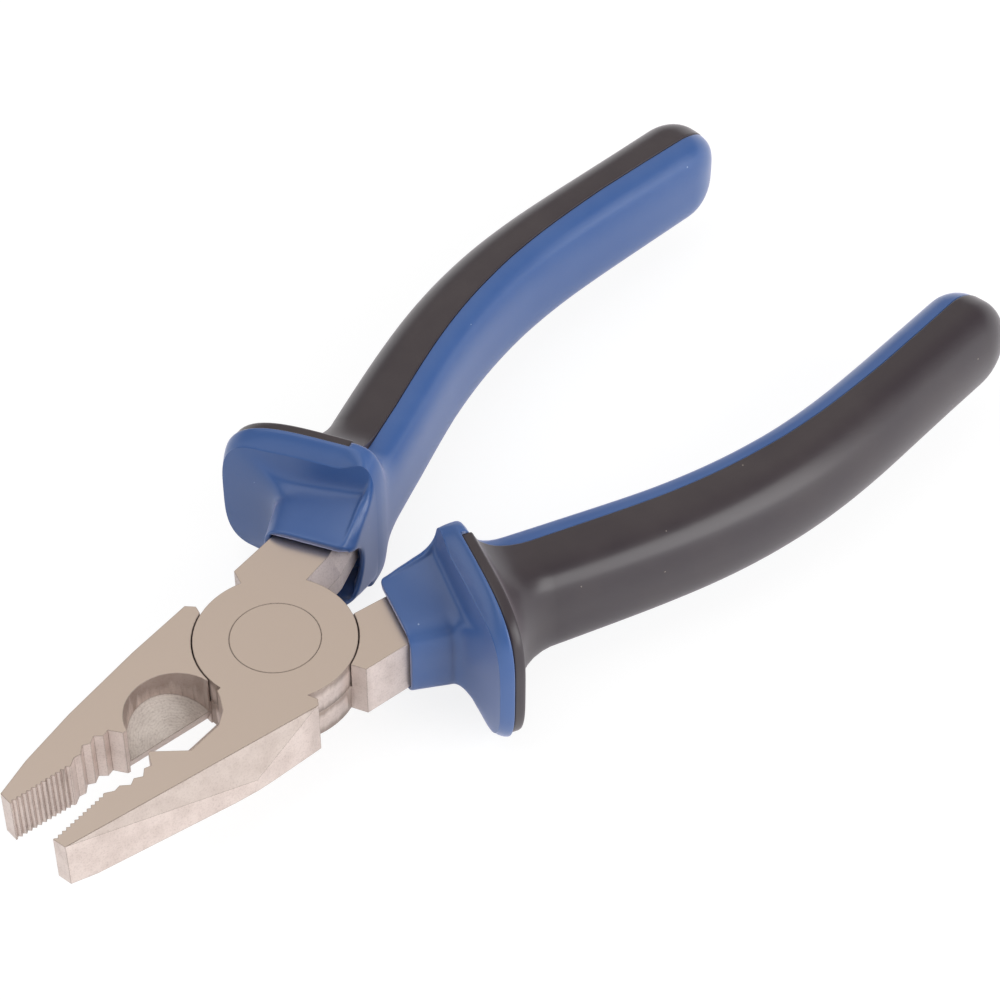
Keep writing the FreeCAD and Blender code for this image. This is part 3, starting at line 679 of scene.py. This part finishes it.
@dataclass
class Grip:
    """Two-part moulded grip of one lever: hard core with sleeve and guard, and soft outer cover.

    Along and across are measured in the frame of the closed tool, from the pivot axis along the neck
    and outwards from it.  Lift is measured from the middle plane.
    """

    side: Side
    neck_deg: float = 18.5
    mid_height: float = 5.0
    middle: float = 2.5

    sleeve_start: float = 18.1
    sleeve_length: float = 6.0
    sleeve_outer: float = 9.85
    sleeve_draft: float = 0.9
    sleeve_inner: float = 4.9
    sleeve_cut: float = 1.5
    sleeve_height: float = 6.9
    sleeve_inner_power: float = 16.0
    sleeve_outer_power: float = 4.4
    sleeve_top: Pair = (0.3, 0.95)
    sleeve_rise: float = 0.7
    sleeve_inner_rise: float = 3.0
    rise_power: float = 1.2
    ridge_width: float = 1.7
    ridge_height: float = 0.4
    ridge_soft: float = 0.25
    corner_radius: float = 2.6
    notch_radius: float = 5.0
    notch_side: Pair = (1.4, 3.0)
    sleeve_rings_count: int = 10
    sleeve_first_share: float = 0.08

    # The bore and its wider mouth: inner side, outer side and half height.
    bore: Triple = (3.52, 8.25, 5.12)
    mouth: Triple = (4.1, 8.75, 5.55)
    bore_power: float = 40.0
    bore_end: float = 25.0

    guard_face: float = 28.7
    guard_rim: float = 2.1
    lip: float = 3.2
    lip_side: float = 0.45
    lip_inner_share: float = 0.4
    lip_fade: Pair = (-0.95, -0.1)
    lip_corner: Pair = (0.5, 1.0)
    cover_rim: float = 1.8
    guard_inner: float = 5.2
    guard_outer: float = 21.5
    guard_height: float = 15.05
    guard_lift: float = 0.85
    guard_inner_power: float = 4.6
    guard_power: float = 3.6
    front_gap: float = 0.2
    front_outer_spread: Pair = (0.35, 0.95)
    front_inner_spread: Pair = (0.66, 0.92)
    front_middle_power: float = 10.0
    front_edge_power: float = 3.0
    front_rings_count: int = 40
    front_ease: float = 1.9
    rim_inset: float = 0.4

    seam: float = 2.5
    seam_gap: float = 0.04
    cover_wall: float = 2.0
    cover_round: float = 0.28
    core_round: float = 0.2
    core_sink: float = 0.16
    hidden_gap: float = 0.06
    flat_length: float = 15.0
    handle_rings_count: int = 44
    cap_length: float = 9.0
    cap_power: float = 2.1
    cap_rings_count: int = 18
    cap_tip: float = 0.05

    def __post_init__(self) -> None:
        """Work out the centre line of the handle from its stations."""
        neck = [self.neck_point(s, self.middle) for s in (self.sleeve_start, self.rim_back)]
        self._points = np.array(neck + [np.array(place) for place in CENTRE_LINE])
        chords = np.linalg.norm(np.diff(self._points, axis=0), axis=1)
        self._knots = np.concatenate([[0.0], np.cumsum(chords)])
        self.length = float(self._knots[-1])
        self.front = float(self._knots[1]) + self.guard_face + self.guard_rim - self.rim_back

    @property
    def rim_back(self) -> float:
        """Distance along the neck to the back of the guard."""
        return self.guard_face + self.guard_rim + self.cover_rim

    @property
    def guard_section(self) -> Section:
        """Full section of the guard."""
        return Section(
            self.guard_inner + self.middle, self.guard_outer - self.middle, self.guard_height,
            self.guard_inner_power, self.guard_power,
        )

    def neck_point(self, along: Array | float, across: Array | float) -> Array:
        """Closed-frame places from distances along and across the neck, one row for each."""
        return np.stack(turned(along, across, self.neck_deg), -1)

    def centre(self, run: float) -> tuple[Array, Array]:
        """Read the centre line.

        Args:
            run: Distance along the centre line.

        Returns:
            Centre of the handle, and its direction there.
        """
        spots = np.array([run - LINE_PROBE_MM, run, run + LINE_PROBE_MM])
        low, here, high = cubic_through(self._knots, self._points, spots)
        ahead = high - low
        return here, ahead / np.linalg.norm(ahead)

    def handle(self, run: float) -> tuple[Section, float]:
        """Read the plain handle.

        Args:
            run: Distance along the centre line.

        Returns:
            Section of the handle, and place of its seam.
        """
        here = self.centre(run)[0][0]
        *sizes, seam = (float(np.interp(here, HANDLE[:, 0], column)) for column in HANDLE[:, 1:].T)
        return Section(*sizes), seam

    def sleeve_section(self, share: float) -> Section:
        """Section of the sleeve at a share of its straight length."""
        return Section(
            self.sleeve_inner + self.middle, self.sleeve_outer + share * self.sleeve_draft - self.middle,
            self.sleeve_height, self.sleeve_inner_power, self.sleeve_outer_power, self.sleeve_cut,
        )

    def sleeve_outline(self, share: float, ahead: Array | float) -> Array:
        """Outline of the sleeve, whose top rises towards the guard, most of all on its inner edge.

        Args:
            share: Share of the straight length of the sleeve.
            ahead: Share of the way from the front of the sleeve to the guard.

        Returns:
            The outline.
        """
        outline = self.whole(self.sleeve_section(share))
        wide = self.sleeve_outer + self.sleeve_draft + self.sleeve_inner
        outer_side = self.sleeve_outer + self.sleeve_draft - self.middle
        inward = np.clip((outer_side - outline[:, 0]) / wide, 0.0, 1.0)
        top = smooth_step(np.abs(outline[:, 1]) / self.sleeve_height, *self.sleeve_top) * np.sign(outline[:, 1])
        rise = self.sleeve_rise + self.sleeve_inner_rise * inward ** 2
        outline[:, 1] += top * ahead ** self.rise_power * rise
        edge = self.middle + self.sleeve_inner - self.ridge_width
        ridge = smooth_step(-outline[:, 0], edge - self.ridge_soft, edge + self.ridge_soft)
        outline[:, 1] += top * self.ridge_height * (ridge * np.clip(4 * ahead, 0.0, 1.0))
        return outline

    def rim_outline(self, back: float = 0.0) -> Array:
        """Outline of the guard at its full size.

        Args:
            back: Wall taken off the outer run, where the guard rounds to its back.

        Returns:
            The outline.
        """
        full = self.guard_section
        outer = replace(full, outer=full.outer - back, height=full.height - back)
        run = outer.outer_run(self.seam - self.seam_gap)
        return np.concatenate([run, full.inner_run(self.seam + self.seam_gap)])

    def face_outline(self) -> Array:
        """Outline of the flat face of the guard, inside a lip that is widest over the middle.

        Returns:
            The outline.
        """
        outline = self.rim_outline()
        full = self.guard_section
        share = outline[:, 0] / np.where(outline[:, 0] > 0, full.outer, full.inner)
        corner = smooth_step(share, *self.lip_corner)
        lip = self.lip * smooth_step(share, *self.lip_fade) * (1 - 0.5 * corner)
        outline[:, 1] *= 1 - lip / self.guard_height
        outline[:, 0] -= self.lip_side * corner
        outline[:, 0] += self.lip_inner_share * self.lip_side * smooth_step(-share, *self.lip_corner)
        return outline

    def front_outline(self, share: float) -> Array:
        """Outline of the concave front of the guard at a share of its depth.

        The sides spread in a broad curve, and the middle of the top stays flat until close to the
        face of the guard.

        Args:
            share: 0 at the end of the sleeve and 1 at the face of the guard.

        Returns:
            The outline.
        """
        depth = self.guard_face - self.sleeve_start
        ahead = (self.sleeve_length + share * (depth - self.sleeve_length)) / depth
        start = self.sleeve_outline(1.0, ahead)
        face = self.face_outline()
        edge = start[:, 0] / np.where(start[:, 0] > 0, start[:, 0].max(), -start[:, 0].min())
        outer_soft = smooth_step(edge, *self.front_outer_spread)
        soft = np.where(edge > 0, outer_soft, smooth_step(-edge, *self.front_inner_spread))
        rise = share ** (self.front_middle_power - (self.front_middle_power - self.front_edge_power) * soft)
        across = start[:, 0] + share ** 3 * (face[:, 0] - start[:, 0])
        lift = start[:, 1] + rise * (face[:, 1] + self.guard_lift - start[:, 1])
        return np.stack([across, lift], 1)

    def bore_outline(self, inner: float, outer: float, height: float) -> Array:
        """Outline of the hole that the neck of the lever fills."""
        power = self.bore_power
        return self.whole(Section(inner + self.middle, outer - self.middle, height, power, power))

    def whole(self, section: Section) -> Array:
        """Both runs of a section, from the lower seam round to itself."""
        outer = section.outer_run(self.seam - self.seam_gap)
        return np.concatenate([outer, section.inner_run(self.seam + self.seam_gap)])

    def place(self, points: Array) -> Array:
        """Turn closed-frame points to the modelled opening, and mirror them for the lower lever."""
        x, y = turned(points[:, 0], points[:, 1], OPENING_DEG / 2)
        return np.stack([x, y * self.side.value, points[:, 2]], 1) * MM

    def neck_ring(self, outline: Array, along: Array | float, lift: float = 0.0) -> Array:
        """Ring across the neck from an outline and a distance along the neck for each point."""
        flat = self.neck_point(along, outline[:, 0] + self.middle)
        return np.concatenate([flat, outline[:, 1:] + self.mid_height + lift], 1)

    def line_ring(self, outline: Array, run: float, lift: float = 0.0) -> Array:
        """Ring across the centre line of the handle.

        Args:
            outline: The outline.
            run: Distance along the centre line.
            lift: How far the ring is lifted.

        Returns:
            The ring.
        """
        here, ahead = self.centre(run)
        across = np.array([-ahead[1], ahead[0]])
        flat = here + outline[:, :1] * across
        return np.concatenate([flat, outline[:, 1:] + self.mid_height + lift], 1)

    def notch(self, outline: Array, along: float) -> Array:
        """Distances along the neck at which the sleeve starts, set back in an arch on its inner wall.

        Args:
            outline: One row of across and lift for each point.
            along: Distance along the neck where the outline is not set back.

        Returns:
            One distance for each point.
        """
        low, high = (self.middle + side for side in self.notch_side)
        arch = np.sqrt(np.clip(self.notch_radius ** 2 - outline[:, 1] ** 2, 0.0, None))
        arch = arch * smooth_step(-outline[:, 0], low, high)
        turn = 1 - (self.middle + self.sleeve_inner + outline[:, 0]) / self.corner_radius
        corner = self.corner_radius * (1 - np.sqrt(1 - np.clip(turn, 0.0, 1.0) ** 2))
        return along + (arch ** 3 + corner ** 3) ** (1 / 3)

    def mouth_rings(self) -> list[Array]:
        """Rings of the bore and of the front edge of the sleeve.

        Returns:
            The rings, from the end of the bore forwards.
        """
        bore, mouth = self.bore_outline(*self.bore), self.bore_outline(*self.mouth)
        start = self.sleeve_start
        rings = [self.neck_ring(bore, self.bore_end)]
        for outline, behind in ((bore, BORE_DEPTH), (mouth, MOUTH_DEPTH), (mouth, MOUTH_EDGE)):
            rings.append(self.neck_ring(outline, self.notch(outline, start + behind)))
        for wall, behind in SLEEVE_EDGE:
            edge = self.whole(self.sleeve_section(0.0).shrunk(wall))
            rings.append(self.neck_ring(edge, self.notch(edge, start + behind)))
        return rings

    def sleeve_rings(self) -> list[Array]:
        """Rings of the sleeve and of the concave front of the guard.

        Returns:
            The rings, from front to back.
        """
        straight = self.sleeve_start + self.sleeve_length
        rings = []
        depth = self.guard_face - self.sleeve_start
        for share in np.linspace(self.sleeve_first_share, 1.0, self.sleeve_rings_count):
            plain = self.whole(self.sleeve_section(share))
            start = self.notch(plain, self.sleeve_start + SLEEVE_EDGE[-1][1])
            along = start + share * (straight - start)
            outline = self.sleeve_outline(share, (along - start + share * (start - self.sleeve_start)) / depth)
            rings.append(self.neck_ring(outline, along))
        depth = self.guard_face - self.front_gap - straight
        for turn in np.linspace(0.0, 1.0, self.front_rings_count + 1)[1:]:
            share = 1 - (1 - turn) ** self.front_ease
            rings.append(self.neck_ring(self.front_outline(share), straight + share * depth))
        return rings

    def rim_rings(self) -> list[Array]:
        """Rings over the rounded lip and round the edge of the blue guard.

        Returns:
            The rings, from front to back.
        """
        face = self.face_outline()
        full = self.rim_outline()
        outlines = [(face + share * (full - face), behind) for share, behind in LIP_STEPS]
        outlines += [(self.rim_outline(back), behind) for back, behind in BACK_STEPS]
        return [
            self.neck_ring(outline, self.guard_face + behind, self.guard_lift) for outline, behind in outlines
        ]

    def hidden(self, run: float, gap: float) -> Array:
        """Run under the cover: an even wall below the surface, turning to a flat face near the end.

        Args:
            run: Distance along the centre line.
            gap: How far the run stays inside the wall of the cover.

        Returns:
            Points from the lower seam to the upper seam.
        """
        plain, seam = self.handle(run)
        wall = plain.shrunk(self.cover_wall + gap).outer_run(seam)
        chord = wall.copy()
        chord[:, 0] = -seam - gap
        chord[:, 1] = np.linspace(wall[0, 1], wall[-1, 1], len(wall))
        flat_from, flat_to = self.length - self.flat_length, self.length - self.cap_length
        flat = float(smooth_step(np.array(run), flat_from, flat_to))
        return wall + flat * (chord - wall)

    def handle_runs(self, start: float) -> Array:
        """Runs along the centre line at which the handle has a ring, up to the rounded end."""
        return np.linspace(start, self.length - self.cap_length, self.handle_rings_count)

    def cap_steps(self) -> list[Pair]:
        """Steps of the rounded end.

        Returns:
            Distance along the centre line and scale, for each ring.
        """
        steps = []
        for turn in np.linspace(0.0, 1.0, self.cap_rings_count + 1)[1:]:
            share = math.sin(turn * math.pi / 2)
            scale = (1 - share ** self.cap_power) ** (1 / self.cap_power) if share < 1 else 0.0
            steps.append((self.length - self.cap_length * (1 - share), max(scale, self.cap_tip)))
        return steps

    def core_rings(self) -> list[Array]:
        """All rings of the hard core.

        Returns:
            The rings, from the end of the bore to the end of the handle.
        """
        rings = self.mouth_rings() + self.sleeve_rings() + self.rim_rings()
        for behind, flare in CORE_FLARE:
            run = self.front + behind
            plain, seam = self.handle(run)
            seam = self.seam + (1 - flare) * (seam - self.seam) + self.seam_gap
            core = plain.towards(self.guard_section, flare).shrunk(self.core_sink * (1 - flare))
            inner = core.inner_run(seam, self.core_round * (1 - flare))
            outline = np.concatenate([self.hidden(run, self.hidden_gap), inner])
            if flare == 1.0:
                along = self.guard_face + self.guard_rim + behind
                rings.append(self.neck_ring(outline, along, self.guard_lift))
            else:
                rings.append(self.line_ring(outline, run, flare * self.guard_lift))
        for run in self.handle_runs(self.front + CORE_FLARE_END):
            plain, seam = self.handle(run)
            inner = plain.shrunk(self.core_sink).inner_run(seam + self.seam_gap, self.core_round)
            rings.append(self.line_ring(np.concatenate([self.hidden(run, self.hidden_gap), inner]), run))
        for run, scale in self.cap_steps():
            plain, seam = self.handle(run)
            core = plain.shrunk(self.core_sink).scaled(scale)
            inner = core.inner_run((seam + self.seam_gap) * scale, self.core_round * scale)
            outer = np.linspace(inner[-1], inner[0], OUTER_COUNT + 2)[1:-1]
            rings.append(self.line_ring(np.concatenate([outer, inner]), run))
        return rings

    def cover_flare(self) -> list[Triple]:
        """Steps of the flared front of the cover.

        Returns:
            Distance behind the blue rim, share of the guard and wall taken off, for each ring.
        """
        rim, low = self.cover_rim, self.rim_inset
        steps = [(behind, flare, low + wall) for behind, flare, wall in COVER_FRONT]
        steps += [(rim + behind, flare, low + wall) for behind, flare, wall in COVER_EDGE]
        return steps + [(rim + behind, flare, share * low) for behind, flare, share in COVER_BACK]

    def cover_rings(self) -> list[Array]:
        """All rings of the soft cover.

        Returns:
            The rings, from front to back.
        """
        rings = []
        handle = [(run, 0.0, 0.0) for run in self.handle_runs(self.front + self.cover_rim + COVER_FLARE_END)]
        flared = [(self.front + behind, flare, wall) for behind, flare, wall in self.cover_flare()]
        for run, flare, wall in flared + handle:
            plain, seam = self.handle(run)
            section = plain.towards(self.guard_section, flare).shrunk(wall)
            outer = section.outer_run(seam, self.cover_round)
            outline = np.concatenate([outer, self.hidden(run, 0.0)[::-1]])
            rings.append(self.line_ring(outline, run, flare * self.guard_lift))
        for run, scale in self.cap_steps():
            plain, seam = self.handle(run)
            outer = plain.scaled(scale).outer_run(seam * scale, self.cover_round * scale)
            inner = np.linspace(outer[-1], outer[0], OUTER_COUNT + 2)[1:-1]
            rings.append(self.line_ring(np.concatenate([outer, inner]), run))
        return rings

    def mesh_object(self, name: str, rings: list[Array], material: Material) -> Object:
        """Skin rings to an object.

        Args:
            name: Name of the piece.
            rings: Rings in the closed frame.
            material: Finish of the piece.

        Returns:
            The linked object.
        """
        vertices, faces = loft([self.place(ring) for ring in rings], self.side is Side.LOWER)
        mesh = bpy.data.meshes.new(name)
        mesh.from_pydata([tuple(v) for v in vertices], [], faces)
        mesh.validate()
        mesh.materials.append(material)
        mesh.shade_smooth()
        return new_object(name, mesh)

    def build(self, hard: Material, soft: Material) -> list[Object]:
        """Build both pieces and tie them to the frame.

        Args:
            hard: Finish of the core.
            soft: Finish of the cover.

        Returns:
            The core and the cover.
        """
        word = self.side.name.lower()
        body = f"{word}_half"
        core = self.mesh_object(f"{word}_hard_grip", self.core_rings(), hard)
        cover = self.mesh_object(f"{word}_soft_cover", self.cover_rings(), soft)
        for piece, node, slot in ((core, "core", Slot.HARD_GRIP), (cover, "cover", Slot.SOFT_GRIP)):
            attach(piece, body)
            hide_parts(f"{word}_grip_{node}")
        return [core, cover]


# ---------------- steel head


@dataclass
class Head:
    """The two levers and the rivet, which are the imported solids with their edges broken."""

    nodes: dict[str, Object]
    weld_mm: float = 0.002
    edge_mm: float = 0.14
    edge_segments: int = 2
    edge_angle_deg: float = 28.0
    cutter_mm: Pair = (-20.2, -1.65)

    def build(self) -> list[Object]:
        """Dress the levers and the rivet.

        Returns:
            The dressed nodes.
        """
        centre = turned(*self.cutter_mm, -OPENING_DEG / 2)
        steel = GroundNickelSteel(cutter_centre_mm=centre).build()
        rivet = GroundNickelSteel(name="ground_rivet_steel").build()
        dressed = []
        for name, material in (("upper_lever", steel), ("lower_lever", steel), ("pivot_rivet", rivet)):
            node = self.nodes[name]
            node.data.materials.clear()
            node.data.materials.append(material)
            weld = node.modifiers.new("weld", "WELD")
            weld.merge_threshold = self.weld_mm * MM
            bevel = node.modifiers.new("broken_edges", "BEVEL")
            bevel.width = self.edge_mm * MM
            bevel.segments = self.edge_segments
            bevel.limit_method = "ANGLE"
            bevel.angle_limit = math.radians(self.edge_angle_deg)
            bevel.harden_normals = True
            dressed.append(node)
        return dressed


# ---------------- studio

WHITE = (1.0, 1.0, 1.0, 1.0)


@dataclass(frozen=True)
class Softbox:
    """Square soft lamp: its place and edge in metres, and its power in watts."""

    name: str
    place: Triple
    size: float
    power: float

    def build(self, target: Triple) -> None:
        """Add the lamp, which reflections do not show.

        Args:
            target: Place that it is aimed at, in metres.
        """
        data = bpy.data.lights.new(self.name, "AREA")
        data.shape = "SQUARE"
        data.size = self.size
        data.energy = self.power
        data.specular_factor = 0.0
        lamp = new_object(self.name, data)
        lamp.location = self.place
        aim = Vector(target) - Vector(self.place)
        lamp.rotation_euler = aim.to_track_quat("-Z", "Y").to_euler()


@dataclass(frozen=True)
class Paper:
    """Paper that glows by itself and is partly lit, so that it takes a soft shadow."""

    glow: float
    grey: float

    def shader(self, tree: NodeTree) -> Node:
        """Add the nodes of the paper.

        Args:
            tree: Node tree that gets them.

        Returns:
            Node whose output is the paper.
        """
        lit = add_node(tree, "BsdfDiffuse", {"Color": (self.grey, self.grey, self.grey, 1.0)})
        if self.glow == 0:
            return lit
        own = add_node(tree, "Emission", {"Color": WHITE, "Strength": self.glow})
        return add_node(tree, "AddShader", (own, lit))


@dataclass
class Studio:
    """Pale floor, soft lamps, a warm grey ceiling for the steel to reflect, and the camera."""

    floor_height: float = 0.0
    floor_size: float = 12.0

    # The paper as it lights the object, as it shows in a reflection, and as the camera sees it.
    lighting: Paper = Paper(0.0, 0.92)
    mirrored: Paper = Paper(0.14, 0.9)
    seen: Paper = Paper(0.84, 0.22)

    # The ramp is two distances from the bright spot and how strongly the ceiling glows there.
    ceiling_size: float = 8.0
    ceiling_height: float = 1.2
    ceiling_tint: tuple[float, ...] = (0.95, 0.89, 0.785, 1.0)
    bright_spot: Triple = (0.85, 0.8, 0.0)
    ceiling_ramp: Ramp = (0.8, 1.9, 1.03, 0.2)

    ambient: float = 0.62
    target: Triple = (0.04, 0.0, 0.0)
    lamps: tuple[Softbox, ...] = (
        Softbox("key_softbox", (-0.3, 0.3, 1.0), 1.0, 3.0),
        Softbox("side_softbox", (0.27, -0.97, 0.5), 0.8, 7.5),
    )

    lens: float = 114.732
    sensor: float = 36.0
    clip: Pair = (0.01, 50.0)
    eye_mm: Triple = (-205.945, -241.201, 369.815)
    right: Triple = (0.68834, -0.72538, 0.00142)
    up: Triple = (0.52361, 0.49823, 0.69108)
    back: Triple = (-0.50201, -0.47496, 0.72277)

    def plane(self, name: str, size: float, height: float, material: Material) -> Object:
        """Flat square stage piece.

        Args:
            name: Name of the piece.
            size: Edge of the square, in metres.
            height: Height above the origin, in metres.
            material: Finish of the piece.

        Returns:
            The linked object.
        """
        half = size / 2
        corners = [(x, y, height) for x, y in ((-half, -half), (half, -half), (half, half), (-half, half))]
        mesh = bpy.data.meshes.new(name)
        mesh.from_pydata(corners, [], [(0, 1, 2, 3)])
        mesh.materials.append(material)
        piece = new_object(name, mesh)
        return piece

    def floor(self) -> None:
        """White floor that keeps a soft shadow of the object."""
        material, tree = new_material("white_studio_paper")
        path = add_node(tree, "LightPath")
        shader = self.lighting.shader(tree)
        for ray, paper in (("Is Glossy Ray", self.mirrored), ("Is Camera Ray", self.seen)):
            shader = add_node(tree, "MixShader", (path.outputs[ray], shader, paper.shader(tree)))
        add_node(tree, "OutputMaterial", {"Surface": shader})
        self.plane("studio_floor", self.floor_size, self.floor_height, material)

    def ceiling(self) -> None:
        """Warm grey ceiling that only shows in reflections, brightest where the flat tops mirror it."""
        material, tree = new_material("warm_grey_ceiling")
        place = add_node(tree, "TexCoord").outputs["Object"]
        offset = add_node(tree, "VectorMath", (place, self.bright_spot), operation="SUBTRACT")
        away = add_node(tree, "VectorMath", (offset,), operation="LENGTH").outputs["Value"]
        level = add_node(tree, "MapRange", (away, *self.ceiling_ramp))
        glow = add_node(tree, "Emission", {"Color": self.ceiling_tint, "Strength": level})
        add_node(tree, "OutputMaterial", {"Surface": glow})
        piece = self.plane("studio_ceiling", self.ceiling_size, self.ceiling_height, material)
        piece.visible_camera = False
        piece.visible_diffuse = False
        piece.visible_shadow = False
        piece.visible_transmission = False

    def world(self) -> None:
        """White surroundings for the camera and reflections, and an even light on the object."""
        world = bpy.data.worlds.new("studio_world")
        world.use_nodes = True
        tree = world.node_tree
        tree.nodes.clear()
        path = add_node(tree, "LightPath")
        seen = path.outputs["Is Camera Ray"]
        for ray in ("Is Glossy Ray", "Is Transmission Ray"):
            seen = add_node(tree, "Math", (seen, path.outputs[ray]), operation="MAXIMUM").outputs[0]
        ambient = add_node(tree, "Background", {"Color": WHITE, "Strength": self.ambient})
        white = add_node(tree, "Background", {"Color": WHITE, "Strength": 1.0})
        mix = add_node(tree, "MixShader", (seen, ambient, white))
        add_node(tree, "OutputWorld", {"Surface": mix})
        bpy.context.scene.world = world

    def camera(self) -> None:
        """Camera above the jaws, looking down along the handles."""
        data = bpy.data.cameras.new("camera")
        data.lens = self.lens
        data.sensor_width = self.sensor
        data.clip_start, data.clip_end = self.clip
        camera = new_object("camera", data)
        axes = Matrix((self.right, self.up, self.back)).transposed().to_4x4()
        camera.matrix_world = Matrix.Translation(Vector(self.eye_mm) * MM) @ axes
        bpy.context.scene.camera = camera

    def build(self) -> None:
        """Set up the stage, the lamps and the camera."""
        self.floor()
        self.ceiling()
        self.world()
        for lamp in self.lamps:
            lamp.build(self.target)
        self.camera()
        bpy.context.scene.view_settings.view_transform = "Standard"


# ---------------- the scene


def main() -> None:
    """Load the frame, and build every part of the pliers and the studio."""
    logging.basicConfig(level=logging.INFO, format="%(name)s: %(message)s")
    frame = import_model()
    for node in Head(frame["nodes"]).build():
        LOG.info("dressed %s", node.name)
    hard = BLUE_POLYPROPYLENE.build()
    soft = BLACK_RUBBER.build()
    for grip in (Grip(Side.UPPER, sleeve_start=18.9, guard_face=29.4), Grip(Side.LOWER, guard_face=28.0)):
        for piece in grip.build(hard, soft):
            LOG.info("built %s with %d faces", piece.name, len(piece.data.polygons))
    lowest = min(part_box(name)[0].z for name in frame["nodes"])
    Studio(floor_height=lowest).build()


if __name__ == "__main__":
    main()
